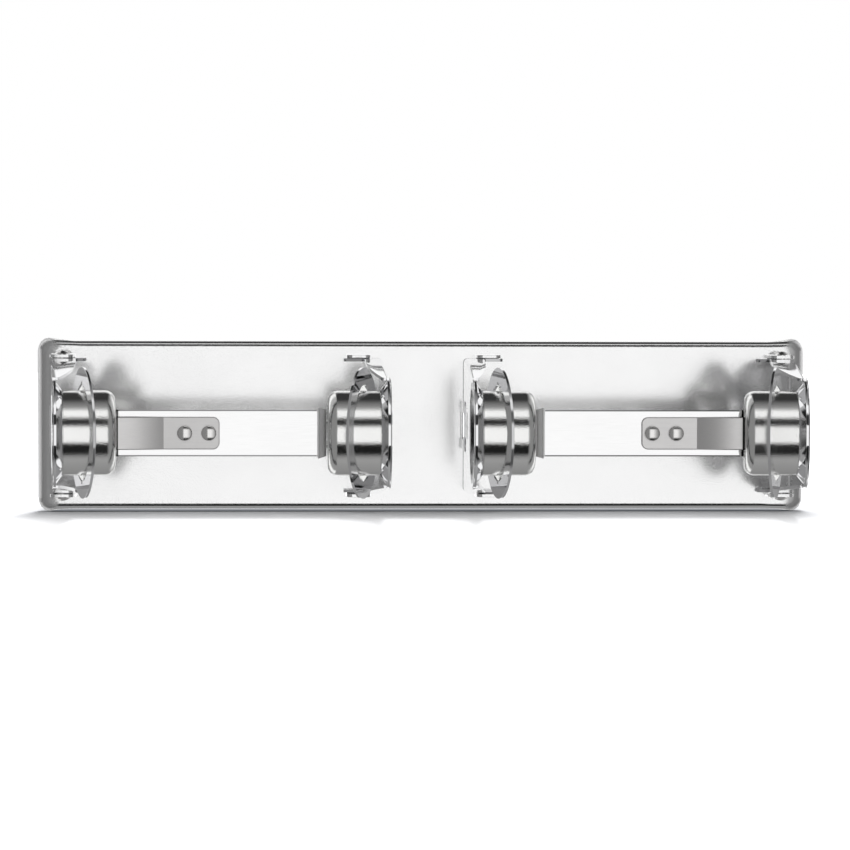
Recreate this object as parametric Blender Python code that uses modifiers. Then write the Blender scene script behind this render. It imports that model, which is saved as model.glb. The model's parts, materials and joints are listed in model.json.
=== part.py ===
"""Locking two-roll toilet tissue dispenser, built from its stamped and turned pieces.

Metres, +Z up. The origin is the middle of the wall plane, and the front faces -Y.
"""
from math import acos, asin, atan2, cos, hypot, pi, radians, sin, sqrt, tan

import bmesh
import bpy
from mathutils import Vector

# Wall plate: a shallow pan whose edges turn back to the wall
PLATE_LENGTH = 0.3143
PLATE_HEIGHT = 0.0684
PLATE_DEPTH = 0.0075
PLATE_SHEET = 0.0010
PLATE_CORNER_RADIUS = 0.0045
PLATE_END_BEND = 0.0070
PLATE_EDGE_BEND = 0.0029
PLATE_CORNER_BULGE = 0.0012
PLATE_BULGE_RUN = 0.0090
SCREW_HOLE_DIAMETER = 0.0052
SCREW_HOLE_SPACING = 0.0500

# Arms: tapered channels with a conical collar at the hub
ARM_SHEET = 0.0012
ARM_HEIGHT = 0.0545
ARM_BEND = 0.0016
ARM_WALL_END = 0.0050
ARM_LEVEL_RUN = 0.0062
OUTER_FOOT_REACH = 0.0146
INNER_FOOT_REACH = 0.0158
ARM_FOOT_DEPTH = 0.0044
ARM_FOOT_ROUND = 0.0012
OUTER_FLANGE_WIDTH = 0.0104
INNER_FLANGE_WIDTH = 0.0078
HUB_FLANGE_WIDTH = 0.0026
FLANGE_STOP = 0.0030
BEND_RELIEF = 0.0008
ARM_WINDOW_HEIGHT = 0.0200
ARM_WINDOW_DEPTH = 0.0150
ARM_WINDOW_START = 0.0030
ARM_WINDOW_ROUND = 0.0020
PIVOT_INSET = 0.0050
PIVOT_DEPTH = 0.0148
OUTER_LEAN = radians(6.2)
INNER_LEAN = radians(0.6)

# Hubs: drums that carry the roll's core
HUB_DEPTH = 0.0890
OUTER_RIM_X = 0.1430
INNER_RIM_X = 0.0157
HUB_LENGTH = 0.0236
COLLAR_LENGTH = 0.0035
COLLAR_RIM_RADIUS = 0.0212
COLLAR_SHEET = 0.0010
COLLAR_STEP = 0.0004
COLLAR_PROUD = 0.0002
DRUM_RADIUS = 0.0161
DRUM_SHEET = 0.0009
DRUM_ROUND = 0.0037
EYELET_REACH = 0.0028
LUG_BASE = 0.0032
LUG_HEIGHT = 0.0026
LUG_SHEET = 0.0016

# Brake discs: notched rings that rock on the drums' lugs
DISC_RADIUS = 0.0249
DISC_SHEET = 0.0010
OUTER_DISC_OFFSET = 0.0115
INNER_DISC_OFFSET = 0.0101
DISC_ROCK = radians(16)
DISC_HOLE_GAP = 0.0022
NOTCH_WIDTH = 0.0032
NOTCH_TAPER = 0.0003
OUTER_LEFT_TILT = radians(8.5)
INNER_LEFT_TILT = radians(15)
INNER_RIGHT_TILT = radians(9)
OUTER_RIGHT_TILT = radians(9)

# Tie bars, leaf springs and their rivets
BAR_WIDTH = 0.0176
BAR_SHEET = 0.0015
BAR_FRONT_OFFSET = 0.0006
BAR_BEND = 0.0016
BAR_FOOT = 0.0080
BAR_EAR = 0.0009
BAR_EAR_RUN = 0.0003
BAR_CORNER = 0.0013
BAR_ENTRY = 0.0025
LEAF_WIDTH = 0.0123
LEAF_SHEET = 0.0007
LEAF_ROUND = 0.0019
LEAF_LENGTH = 0.0395
TONGUE_LENGTH = 0.0184
TONGUE_ANGLE = radians(19)
TONGUE_ENTRY = 0.0016
LATCH_RIVET_SETBACK = 0.0040
LATCH_RIVET_SPACING = 0.0091
LATCH_HEAD_DIAMETER = 0.0055
LATCH_HEAD_HEIGHT = 0.0021
LATCH_SHANK_DIAMETER = 0.0026
LATCH_TAIL_HEIGHT = 0.0008
SLOT_SIDE_PLAY = 0.0005
SLOT_REAR_PLAY = 0.0018
SLOT_FRONT_PLAY = 0.0005
BAR_RIVET_SPACING = 0.0090
BAR_HEAD_DIAMETER = 0.0050
BAR_HEAD_HEIGHT = 0.0013
BAR_SHANK_DIAMETER = 0.0026
BAR_TAIL_HEIGHT = 0.0008

# Ear brackets behind the plate, their ears and the pivot rivets
EAR_SHEET = 0.0012
EAR_WIDTH = 0.0094
EAR_REACH = 0.0195
EAR_BEND = 0.0008
INNER_EAR_SHIFT = 0.0049
EAR_ROUND = 0.0022
PIVOT_SHANK_DIAMETER = 0.0036
PIVOT_HEAD_DIAMETER = 0.0068
PIVOT_HEAD_HEIGHT = 0.0014
PIVOT_TAIL_DIAMETER = 0.0056
PIVOT_TAIL_HEIGHT = 0.0009

# Locating tongues lanced from the plate beside the inner arms
LOCATOR_HEIGHT = 0.0106
LOCATOR_REACH = 0.0068
LOCATOR_GAP = 0.0004
LOCATOR_ROUND = 0.0015

CLEARANCE = 0.0003
OVERRUN = 0.0020
MERGE = 0.000001

HUB_STEPS = 32
RIVET_STEPS = 12
HOLE_STEPS = 12
ARC_STEPS = 6
ROUND_STEPS = 4
DOME_STEPS = 3
ARM_STATIONS = 5
BEND_STEPS = 2
WIDTH_FALL_SHARE = 2.2
DISC_STEPS = 48

OBJECT_NAME = "locking_tissue_dispenser"


def clear_scene():
    """Remove every object of the open file."""
    for item in list(bpy.data.objects):
        bpy.data.objects.remove(item, do_unlink=True)


def new_collection(name):
    """Make a collection and link it to the scene."""
    collection = bpy.data.collections.new(name)
    bpy.context.scene.collection.children.link(collection)
    return collection


def new_material(name, colour, roughness, metallic):
    """Make a Principled material of one finish."""
    material = bpy.data.materials.new(name)
    material.use_nodes = True
    shader = material.node_tree.nodes["Principled BSDF"]
    shader.inputs["Base Color"].default_value = (*colour, 1.0)
    shader.inputs["Roughness"].default_value = roughness
    shader.inputs["Metallic"].default_value = metallic
    material.diffuse_color = (*colour, 1.0)
    return material


clear_scene()
PARTS = new_collection(OBJECT_NAME)
CUTTERS = new_collection("cutters")

SATIN = new_material("satin_chrome", (0.80, 0.80, 0.79), 0.34, 1.0)
BRIGHT = new_material("bright_chrome", (0.86, 0.86, 0.87), 0.10, 1.0)
DRAWN = new_material("brushed_nickel", (0.55, 0.55, 0.55), 0.22, 1.0)
STRAP = new_material("satin_strap", (0.84, 0.83, 0.81), 0.40, 1.0)
SPRING = new_material("spring_steel", (0.72, 0.70, 0.67), 0.36, 1.0)
RIVET = new_material("plated_rivet", (0.62, 0.61, 0.60), 0.16, 1.0)


def add_part(name, data, material, parent=None, location=(0, 0, 0), rotation=(0, 0, 0)):
    """Add one named piece with its own copy of a finish."""
    part = bpy.data.objects.new(name, data)
    own = material.copy()
    own.name = name + "_finish"
    data.materials.append(own)
    PARTS.objects.link(part)
    part.parent = parent
    part.location = location
    part.rotation_euler = rotation
    return part


def add_empty(name, location, turn):
    """Add an empty that stands on a vertical axis."""
    empty = bpy.data.objects.new(name, None)
    empty.location = location
    empty.rotation_euler = (0, 0, turn)
    PARTS.objects.link(empty)
    return empty


def add_guide(name, data, parent=None, location=(0, 0, 0), rotation=(0, 0, 0)):
    """Add a hidden solid that only cuts or joins others."""
    guide = bpy.data.objects.new(name, data)
    guide.hide_render = True
    guide.display_type = "WIRE"
    CUTTERS.objects.link(guide)
    guide.parent = parent
    guide.location = location
    guide.rotation_euler = rotation
    return guide


def boolean(part, guide, operation):
    """Cut a piece with a guide, or join the guide to it."""
    modifier = part.modifiers.new(operation.lower() + "_" + guide.name, "BOOLEAN")
    modifier.operation = operation
    modifier.object = guide
    modifier.solver = "EXACT"


def solidify(part, thickness, offset):
    """Give a sheet its thickness."""
    modifier = part.modifiers.new("sheet", "SOLIDIFY")
    modifier.thickness = thickness
    modifier.offset = offset
    modifier.use_even_offset = True


def screw(part, steps):
    """Turn a profile about its own Z axis."""
    modifier = part.modifiers.new("turned", "SCREW")
    modifier.axis = "Z"
    modifier.steps = steps
    modifier.render_steps = steps
    modifier.use_merge_vertices = True
    modifier.merge_threshold = MERGE


def smooth(data, angle=radians(35)):
    """Shade round surfaces smooth and keep sharp folds."""
    data.shade_smooth()
    data.set_sharp_from_angle(angle=angle)


def mesh_from(bm, name):
    """Turn a finished bmesh into a mesh with welded corners."""
    bmesh.ops.remove_doubles(bm, verts=bm.verts, dist=MERGE)
    data = bpy.data.meshes.new(name)
    bm.to_mesh(data)
    bm.free()
    return data


def arc(centre_a, centre_b, radius, start, end, steps=ARC_STEPS):
    """Points along an arc, in the order that they are walked."""
    points = []
    for step in range(steps + 1):
        angle = start + (end - start) * step / steps
        points.append((centre_a + radius * cos(angle), centre_b + radius * sin(angle)))
    return points


def profile_mesh(name, points, closed=True):
    """A mesh of edges that follows a profile of (radius, height) points."""
    bm = bmesh.new()
    verts = [bm.verts.new((radius, 0, height)) for radius, height in points]
    pairs = list(zip(verts, verts[1:]))
    if closed:
        pairs.append((verts[-1], verts[0]))
    for pair in pairs:
        bm.edges.new(pair)
    return mesh_from(bm, name)


def box_mesh(name, size):
    """A box of a given size about its own middle."""
    bm = bmesh.new()
    bmesh.ops.create_cube(bm, size=1)
    bmesh.ops.scale(bm, vec=Vector(size), verts=bm.verts)
    return mesh_from(bm, name)


def rounded_box_mesh(name, size, radius, axis):
    """A box whose four edges along one axis are rounded."""
    bm = bmesh.new()
    bmesh.ops.create_cube(bm, size=1)
    bmesh.ops.scale(bm, vec=Vector(size), verts=bm.verts)
    along = [edge for edge in bm.edges
             if abs((edge.verts[0].co - edge.verts[1].co)[axis]) > MERGE]
    bmesh.ops.bevel(bm, geom=along, offset=radius, segments=3, profile=0.5,
                    affect="EDGES", material=-1)
    return mesh_from(bm, name)


def pin_mesh(name, diameter, length, steps=HOLE_STEPS):
    """A round pin about its own middle, along Z."""
    bm = bmesh.new()
    bmesh.ops.create_cone(bm, cap_ends=True, segments=steps, radius1=diameter / 2,
                          radius2=diameter / 2, depth=length)
    return mesh_from(bm, name)


def strip_mesh(name, stations, width_axis):
    """A folded strip: each station is a place on its path and a half width.

    The path lies in the plane square to width_axis, and the strip's front is
    on the right-hand side of the way that the path is walked.
    """
    bm = bmesh.new()
    rows = []
    for first, second, half in stations:
        if width_axis == "Z":
            ends = ((first, second, -half), (first, second, half))
        else:
            ends = ((-half, first, second), (half, first, second))
        rows.append([bm.verts.new(end) for end in ends])
    for low, high in zip(rows, rows[1:]):
        bm.faces.new((low[0], high[0], high[1], low[1]))
    return mesh_from(bm, name)


def side_of(x):
    """The name of the side that a place along X lies on."""
    return "left" if x < 0 else "right"


# Places that follow from the driving dimensions

COLLAR_LIP_RADIUS = DRUM_RADIUS + COLLAR_STEP
CONE_SLOPE = atan2(COLLAR_RIM_RADIUS - COLLAR_LIP_RADIUS, COLLAR_LENGTH)
CONE_NORMAL = (-cos(CONE_SLOPE), -sin(CONE_SLOPE))
LIP_INNER_RADIUS = COLLAR_LIP_RADIUS + COLLAR_SHEET * CONE_NORMAL[0]
COLLAR_MOUTH_RADIUS = COLLAR_RIM_RADIUS - COLLAR_SHEET / cos(CONE_SLOPE)
NECK_RADIUS = LIP_INNER_RADIUS - CLEARANCE
NOSE_RADIUS = COLLAR_RIM_RADIUS - COLLAR_PROUD * 2
ARM_REACH = (HUB_DEPTH - PIVOT_DEPTH) / cos(OUTER_LEAN)
DISC_HOLE_HEIGHT = DRUM_RADIUS + DISC_HOLE_GAP
DISC_HOLE_DEPTH = DRUM_RADIUS / cos(DISC_ROCK) + DISC_SHEET * tan(DISC_ROCK) + CLEARANCE
NOTCH_TIP = DRUM_RADIUS + LUG_HEIGHT + CLEARANCE * 2
BAR_FRONT = HUB_DEPTH + BAR_FRONT_OFFSET
BAR_REAR = BAR_FRONT - BAR_SHEET
TONGUE_RISE = TONGUE_LENGTH * sin(TONGUE_ANGLE) / 2
EAR_INNER_Z = ARM_HEIGHT / 2 + CLEARANCE
EAR_OUTER_Z = EAR_INNER_Z + EAR_SHEET
BRACKET_FRONT = PLATE_DEPTH - PLATE_SHEET - CLEARANCE


class Arm:
    """One arm's place: its pair's side, whether it is hinged, and its axis."""

    def __init__(self, side, outer):
        self.side = side
        self.outer = outer
        self.role = "outer" if outer else "inner"
        self.tag = self.role + "_" + side_of(side)
        # hand is the direction of the roll along X, seen from the arm
        self.hand = -side if outer else side
        self.lean = OUTER_LEAN if outer else -INNER_LEAN
        rim = OUTER_RIM_X if outer else INNER_RIM_X
        reach = ARM_REACH * sin(self.lean) - PIVOT_INSET * cos(self.lean)
        self.axis_x = side * rim - self.hand * reach
        self.turn = self.hand * self.lean
        self.flange = OUTER_FLANGE_WIDTH if outer else INNER_FLANGE_WIDTH
        self.disc = OUTER_DISC_OFFSET if outer else INNER_DISC_OFFSET
        self.foot = OUTER_FOOT_REACH if outer else INNER_FOOT_REACH
        self.empty = add_empty("axis_" + self.tag, (self.axis_x, -PIVOT_DEPTH, 0), self.turn)

    def x(self, inward):
        """A place along the arm's own X, measured from its web's outer face."""
        return self.hand * (inward - PIVOT_INSET)

    def world(self, inward, forward):
        """The world place of a point of the arm, as (x, y)."""
        x, y = self.x(inward), -forward
        return (self.axis_x + x * cos(self.turn) - y * sin(self.turn),
                -PIVOT_DEPTH + x * sin(self.turn) + y * cos(self.turn))


def hub_turn(arm):
    """The rotation that lays a turned profile's axis along the hub."""
    return (0, arm.hand * pi / 2, 0)


def pan_outline(inset_x, inset_z, bulge):
    """One loop of the pan, anticlockwise seen from the front."""
    half_x = PLATE_LENGTH / 2 - inset_x
    half_z = PLATE_HEIGHT / 2 - inset_z
    corner_x = half_x - PLATE_CORNER_RADIUS
    corner_z = half_z - PLATE_CORNER_RADIUS
    points = []
    for quarter, (sign_x, sign_z) in enumerate(((1, 1), (-1, 1), (-1, -1), (1, -1))):
        start = quarter * pi / 2
        turned = arc(sign_x * corner_x, sign_z * corner_z, PLATE_CORNER_RADIUS,
                     start, start + pi / 2, ROUND_STEPS)
        raised = [(x, z + sign_z * bulge * abs(sin(atan2(z - sign_z * corner_z,
                                                         x - sign_x * corner_x))))
                  for x, z in turned]
        level = (sign_x * (corner_x - PLATE_BULGE_RUN), sign_z * half_z)
        if quarter % 2 == 0:
            points += raised + [level]
        else:
            points += [level] + raised
    return points


def bend_inset(radius, drop):
    """How far a bend of a given radius lies inside its flange, at a drop."""
    if drop >= radius:
        return 0.0
    return radius - sqrt(radius ** 2 - (radius - drop) ** 2)


def pan_drops():
    """Depths behind the plate's face at which its bends are drawn."""
    drops = {0.0, PLATE_EDGE_BEND, PLATE_DEPTH}
    for step in range(1, ROUND_STEPS + 1):
        share = 1 - cos(step * pi / 2 / ROUND_STEPS)
        drops.update((PLATE_END_BEND * share, PLATE_EDGE_BEND * share))
    ordered = sorted(drops)
    kept = [ordered[0]]
    for drop in ordered[1:]:
        if drop - kept[-1] > PLATE_EDGE_BEND / 10:
            kept.append(drop)
    return kept


def make_plate(arms):
    """The wall plate, with slots for the ears, screw holes and locators."""
    bm = bmesh.new()
    rows = []
    for drop in pan_drops():
        bulge = PLATE_CORNER_BULGE * min(1.0, drop / PLATE_END_BEND)
        outline = pan_outline(bend_inset(PLATE_END_BEND, drop),
                              bend_inset(PLATE_EDGE_BEND, drop), bulge)
        rows.append([bm.verts.new((x, drop - PLATE_DEPTH, z)) for x, z in outline])
    bm.faces.new(rows[0])
    for front, back in zip(rows, rows[1:]):
        count = len(front)
        for index in range(count):
            after = (index + 1) % count
            bm.faces.new((front[index], back[index], back[after], front[after]))
    data = mesh_from(bm, "wall_plate")
    smooth(data)
    plate = add_part("wall_plate", data, SATIN)
    solidify(plate, PLATE_SHEET, -1)
    slot_size = (EAR_WIDTH + 2 * CLEARANCE, PLATE_SHEET + 2 * OVERRUN, EAR_SHEET + 2 * CLEARANCE)
    slot = box_mesh("ear_slot", slot_size)
    middle = -(PLATE_DEPTH - PLATE_SHEET / 2)
    for arm in arms:
        for level in (-1, 1):
            height = level * (EAR_INNER_Z + EAR_SHEET / 2)
            guide = add_guide("ear_slot_" + arm.tag, slot, None, (ear_x(arm), middle, height))
            boolean(plate, guide, "DIFFERENCE")
    hole = pin_mesh("screw_hole", SCREW_HOLE_DIAMETER, PLATE_SHEET + 2 * OVERRUN)
    for side in (-1, 1):
        pair_middle = side * (OUTER_RIM_X + INNER_RIM_X) / 2
        for step in (-1, 1):
            place = (pair_middle + step * SCREW_HOLE_SPACING / 2, middle, 0)
            guide = add_guide("screw_hole_cut", hole, None, place, (pi / 2, 0, 0))
            boolean(plate, guide, "DIFFERENCE")
    for arm in arms:
        if not arm.outer:
            add_locator(plate, arm)
    return plate


def add_locator(plate, arm):
    """A tongue lanced out of the plate beside an inner arm's web."""
    near_x = arm.world(0, PIVOT_DEPTH - PLATE_DEPTH - LOCATOR_REACH)[0]
    wall_x = arm.world(0, PLATE_DEPTH - PIVOT_DEPTH)[0]
    face = min(abs(near_x), abs(wall_x)) - LOCATOR_GAP
    middle = arm.side * (face - PLATE_SHEET / 2)
    window = (LOCATOR_REACH, PLATE_SHEET + 2 * OVERRUN, LOCATOR_HEIGHT)
    window_x = middle + arm.side * (PLATE_SHEET + LOCATOR_REACH) / 2
    plate_middle = -(PLATE_DEPTH - PLATE_SHEET / 2)
    cut = add_guide("locator_window", rounded_box_mesh("locator_window", window, LOCATOR_ROUND, 1),
                    None, (window_x, plate_middle, 0))
    boolean(plate, cut, "DIFFERENCE")
    length = LOCATOR_REACH + PLATE_SHEET
    size = (PLATE_SHEET, length, LOCATOR_HEIGHT)
    place = (middle, -(PLATE_DEPTH - PLATE_SHEET) - length / 2, 0)
    tongue = add_guide("locator_tongue", rounded_box_mesh("locator_tongue", size, PLATE_SHEET / 4, 2),
                       None, place)
    boolean(plate, tongue, "UNION")


def fold_points():
    """The arm's top fold line, as (forward, height), and its hub tangent."""
    level_end = (ARM_LEVEL_RUN, ARM_HEIGHT / 2)
    run = level_end[0] - ARM_REACH
    distance = hypot(run, level_end[1])
    angle = atan2(level_end[1], run) - acos(NOSE_RADIUS / distance)
    tangent = (ARM_REACH + NOSE_RADIUS * cos(angle), NOSE_RADIUS * sin(angle))
    return level_end, tangent, angle


def heel(arm, inward):
    """How far behind the axis the foot may reach at a place across it."""
    room = PIVOT_DEPTH - PLATE_DEPTH - CLEARANCE
    return (room - (inward - PIVOT_INSET) * sin(arm.lean)) / cos(arm.lean)


def bend_row(arm, forward, height, level, width=None):
    """Points round the fold at one station, from the web to the flange."""
    row = []
    for step in range(BEND_STEPS + 1):
        angle = step * pi / 2 / BEND_STEPS
        inward = ARM_BEND * (1 - cos(angle))
        row.append((arm.x(inward), -forward, level * (height - ARM_BEND * (1 - sin(angle)))))
    if width is not None:
        row.append((arm.x(width), -forward, level * height))
    return row


def add_face(bm, points):
    """Add one flat face through a few points."""
    return bm.faces.new([bm.verts.new(point) for point in points])


def arm_sheet(arm):
    """The folded channel as an open surface, its outer faces out."""
    level_end, tangent, angle = fold_points()
    flange_end = tangent[0] - FLANGE_STOP
    slope = (tangent[1] - level_end[1]) / (tangent[0] - level_end[0])
    stations = [(-ARM_WALL_END, ARM_HEIGHT / 2), level_end]
    widths = [arm.flange]
    for step in range(1, ARM_STATIONS + 1):
        share = step / ARM_STATIONS
        forward = level_end[0] + share * (flange_end - level_end[0])
        stations.append((forward, level_end[1] + slope * (forward - level_end[0])))
        widths.append(arm.flange + (HUB_FLANGE_WIDTH - arm.flange) * share ** WIDTH_FALL_SHARE)
    relief = flange_end + BEND_RELIEF
    step_top = (relief, level_end[1] + slope * (relief - level_end[0]))
    upper = [(forward, height - ARM_BEND) for forward, height in stations]
    upper += [(relief, step_top[1] - ARM_BEND), step_top, tangent]
    nose = arc(ARM_REACH, 0, NOSE_RADIUS, angle, -angle, HUB_STEPS // 2)[1:-1]
    lower = [(forward, -height) for forward, height in reversed(upper)]
    bm = bmesh.new()
    add_face(bm, [(arm.x(0), -forward, height) for forward, height in upper + nose + lower])
    reach = min(heel(arm, arm.flange), heel(arm, arm.foot))
    front = ARM_FOOT_DEPTH - reach
    foot = [(-ARM_WALL_END, ARM_BEND), (-ARM_WALL_END, arm.flange - ARM_FOOT_ROUND),
            (-reach, arm.flange), (-reach, arm.foot - ARM_FOOT_ROUND),
            (ARM_FOOT_ROUND - reach, arm.foot), (front - ARM_FOOT_ROUND, arm.foot),
            (front, arm.foot - ARM_FOOT_ROUND), (front, arm.flange + ARM_FOOT_ROUND),
            (front + ARM_FOOT_ROUND, arm.flange), (level_end[0], arm.flange), (level_end[0], ARM_BEND)]
    for level in (1, -1):
        add_face(bm, [(arm.x(inward), -forward, level * ARM_HEIGHT / 2) for forward, inward in foot])
        rows = [bend_row(arm, forward, height, level) for forward, height in stations[:2]]
        add_quads(bm, rows)
        rows = [bend_row(arm, forward, height, level, width)
                for (forward, height), width in zip(stations[1:], widths)]
        add_quads(bm, rows)
    bmesh.ops.remove_doubles(bm, verts=bm.verts, dist=MERGE)
    bmesh.ops.recalc_face_normals(bm, faces=bm.faces)
    web = max(bm.faces, key=lambda face: len(face.verts))
    if web.normal.x * arm.hand > 0:
        bmesh.ops.reverse_faces(bm, faces=bm.faces)
    return mesh_from(bm, "arm_" + arm.tag)


def add_quads(bm, rows):
    """Join rows of points with four-sided faces."""
    for near, far in zip(rows, rows[1:]):
        for index in range(len(near) - 1):
            add_face(bm, [near[index], near[index + 1], far[index + 1], far[index]])


def collar_profile():
    """The collar's section as (radius, distance from the rim) points."""
    lip_inner = (LIP_INNER_RADIUS, COLLAR_LENGTH - COLLAR_SHEET * sin(CONE_SLOPE))
    return [(COLLAR_LIP_RADIUS, COLLAR_LENGTH), (COLLAR_RIM_RADIUS, 0),
            (COLLAR_RIM_RADIUS, -COLLAR_PROUD), (COLLAR_MOUTH_RADIUS, -COLLAR_PROUD), lip_inner]


def make_arm(arm):
    """One arm: channel, collar, web window and, when hinged, pivot holes."""
    data = arm_sheet(arm)
    smooth(data)
    part = add_part("%s_arm_%s" % (arm.role, side_of(arm.side)), data, BRIGHT, arm.empty)
    solidify(part, ARM_SHEET, -1)
    hub = (arm.x(0), -ARM_REACH, 0)
    bore = add_guide("throat_" + arm.tag, pin_mesh("throat", 2 * COLLAR_MOUTH_RADIUS + COLLAR_SHEET,
                     2 * (OVERRUN + ARM_SHEET), HUB_STEPS), arm.empty, hub, hub_turn(arm))
    boolean(part, bore, "DIFFERENCE")
    collar = add_guide("collar_" + arm.tag, profile_mesh("collar", collar_profile()),
                       arm.empty, hub, hub_turn(arm))
    screw(collar, HUB_STEPS)
    boolean(part, collar, "UNION")
    size = (ARM_SHEET + 2 * OVERRUN, ARM_WINDOW_DEPTH, ARM_WINDOW_HEIGHT)
    window = add_guide("web_window_" + arm.tag, rounded_box_mesh("web_window", size,
                       ARM_WINDOW_ROUND, 0), arm.empty,
                       (arm.x(0), -(ARM_WINDOW_START + ARM_WINDOW_DEPTH / 2), 0))
    boolean(part, window, "DIFFERENCE")
    if arm.outer:
        length = ARM_SHEET + 2 * OVERRUN
        hole = pin_mesh("pivot_hole", PIVOT_SHANK_DIAMETER + 2 * CLEARANCE, length)
        for level in (-1, 1):
            guide = add_guide("pivot_hole_" + arm.tag, hole, arm.empty,
                              (0, 0, level * (ARM_HEIGHT - ARM_SHEET) / 2))
            boolean(part, guide, "DIFFERENCE")
    return part


def cup_profile():
    """The drum's section, walked from its closed end down the outer side."""
    shoulder = COLLAR_LENGTH + CLEARANCE
    inner = DRUM_RADIUS - DRUM_SHEET
    neck_inner = NECK_RADIUS - DRUM_SHEET
    along = (-sin(CONE_SLOPE), cos(CONE_SLOPE))
    gap = COLLAR_SHEET + CLEARANCE
    start = (COLLAR_LENGTH + gap * CONE_NORMAL[1], COLLAR_LIP_RADIUS + gap * CONE_NORMAL[0])
    swing = (-cos(CONE_SLOPE), sin(CONE_SLOPE))
    outer_tip = (start[0] + EYELET_REACH * swing[0], start[1] + EYELET_REACH * swing[1])
    inner_tip = (outer_tip[0] + DRUM_SHEET * CONE_NORMAL[1], outer_tip[1] + DRUM_SHEET * CONE_NORMAL[0])
    outer_root = start[0] + (start[1] - NECK_RADIUS) * abs(swing[0] / swing[1])
    inner_start = (start[0] + DRUM_SHEET * CONE_NORMAL[1], start[1] + DRUM_SHEET * CONE_NORMAL[0])
    inner_root = inner_start[0] + (inner_start[1] - neck_inner) * abs(swing[0] / swing[1])
    end_round = arc(HUB_LENGTH - DRUM_ROUND, DRUM_RADIUS - DRUM_ROUND, DRUM_ROUND, 0, pi / 2,
                    ROUND_STEPS)
    inner_round = arc(HUB_LENGTH - DRUM_ROUND, DRUM_RADIUS - DRUM_ROUND, DRUM_ROUND - DRUM_SHEET,
                      pi / 2, 0, ROUND_STEPS // 2)
    places = [(HUB_LENGTH, 0)] + end_round
    places += [(shoulder, DRUM_RADIUS), (shoulder, NECK_RADIUS), (outer_root, NECK_RADIUS)]
    places += [outer_tip, inner_tip, (inner_root, neck_inner)]
    places += [(shoulder + DRUM_SHEET, neck_inner), (shoulder + DRUM_SHEET, inner)]
    places += inner_round + [(HUB_LENGTH - DRUM_SHEET, 0)]
    return [(radius, distance) for distance, radius in places]


def lug_mesh(name):
    """A fin for a disc's notch: a triangle whose foot lies along the hub."""
    base = DRUM_RADIUS - DRUM_SHEET / 2
    tip = DRUM_RADIUS + LUG_HEIGHT
    spread = LUG_BASE / 2 * (tip - base) / LUG_HEIGHT
    bm = bmesh.new()
    corners = [bm.verts.new((x, -LUG_SHEET / 2, z)) for x, z in
               ((-spread, base), (spread, base), (0, tip))]
    face = bm.faces.new(corners)
    grown = bmesh.ops.extrude_face_region(bm, geom=[face])
    moved = [item for item in grown["geom"] if isinstance(item, bmesh.types.BMVert)]
    bmesh.ops.translate(bm, vec=(0, LUG_SHEET, 0), verts=moved)
    bmesh.ops.recalc_face_normals(bm, faces=bm.faces)
    return mesh_from(bm, name)


def make_hub_cup(arm):
    """One drum with its lugs, and the bar's slot or the rivets' holes."""
    data = profile_mesh("hub_cup_" + arm.tag, cup_profile(), closed=False)
    hub = (arm.x(0), -ARM_REACH, 0)
    part = add_part("hub_cup_" + arm.tag, data, DRAWN, arm.empty, hub, hub_turn(arm))
    screw(part, HUB_STEPS)
    lug = lug_mesh("lug")
    lug_place = (arm.x(arm.disc), -ARM_REACH, 0)
    for turn in (0, pi):
        guide = add_guide("lug_" + arm.tag, lug, arm.empty, lug_place, (turn, 0, 0))
        boolean(part, guide, "UNION")
    end_x = arm.world(HUB_LENGTH, ARM_REACH)[0]
    if arm.outer:
        rear = BAR_REAR - SLOT_REAR_PLAY
        front = BAR_FRONT + CLEARANCE + TONGUE_RISE + LEAF_SHEET + SLOT_FRONT_PLAY
        size = (4 * DRUM_SHEET, front - rear, BAR_WIDTH + 2 * SLOT_SIDE_PLAY)
        guide = add_guide("bar_slot_" + arm.tag, rounded_box_mesh("bar_slot", size,
                          SLOT_SIDE_PLAY, 0), None, (end_x, -(rear + front) / 2, 0))
        boolean(part, guide, "DIFFERENCE")
    else:
        hole = pin_mesh("bar_rivet_hole", BAR_SHANK_DIAMETER + 2 * CLEARANCE, 6 * DRUM_SHEET)
        for level in (-1, 1):
            guide = add_guide("bar_rivet_hole_" + arm.tag, hole, None,
                              (end_x, -foot_middle(), level * BAR_RIVET_SPACING / 2),
                              (0, pi / 2, 0))
            boolean(part, guide, "DIFFERENCE")
    return part


def disc_outline():
    """The disc's hole: an ellipse with a notch above and below."""
    half_notch = NOTCH_WIDTH / 2
    edge = asin(half_notch / DISC_HOLE_DEPTH)
    points = []
    for flip in (1, -1):
        side = arc(0, 0, 1, flip * pi / 2 - edge, flip * pi / 2 - pi + edge, DISC_STEPS // 2)
        points += [(DISC_HOLE_HEIGHT * sin(atan2(b, a)), DISC_HOLE_DEPTH * cos(atan2(b, a)))
                   for a, b in side]
        points += [(-flip * NOTCH_TIP, end * (half_notch - NOTCH_TAPER)) for end in (flip, -flip)]
    return points


def add_spline(curve, points):
    """Add one closed straight-edged outline to a flat curve."""
    spline = curve.splines.new("POLY")
    spline.points.add(len(points) - 1)
    for item, (a, b) in zip(spline.points, points):
        item.co = (a, b, 0, 1)
    spline.use_cyclic_u = True


def make_disc(arm, tilt):
    """One brake disc, tilted on its lugs with its front edge to the roll."""
    curve = bpy.data.curves.new("brake_disc_" + arm.tag, "CURVE")
    curve.dimensions = "2D"
    curve.fill_mode = "BOTH"
    curve.extrude = DISC_SHEET / 2
    add_spline(curve, arc(0, 0, DISC_RADIUS, 0, 2 * pi, DISC_STEPS)[:-1])
    add_spline(curve, disc_outline())
    place = (arm.x(arm.disc), -ARM_REACH, 0)
    return add_part("brake_disc_" + arm.tag, curve, BRIGHT, arm.empty, place,
                    (0, pi / 2, arm.hand * tilt))


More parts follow.
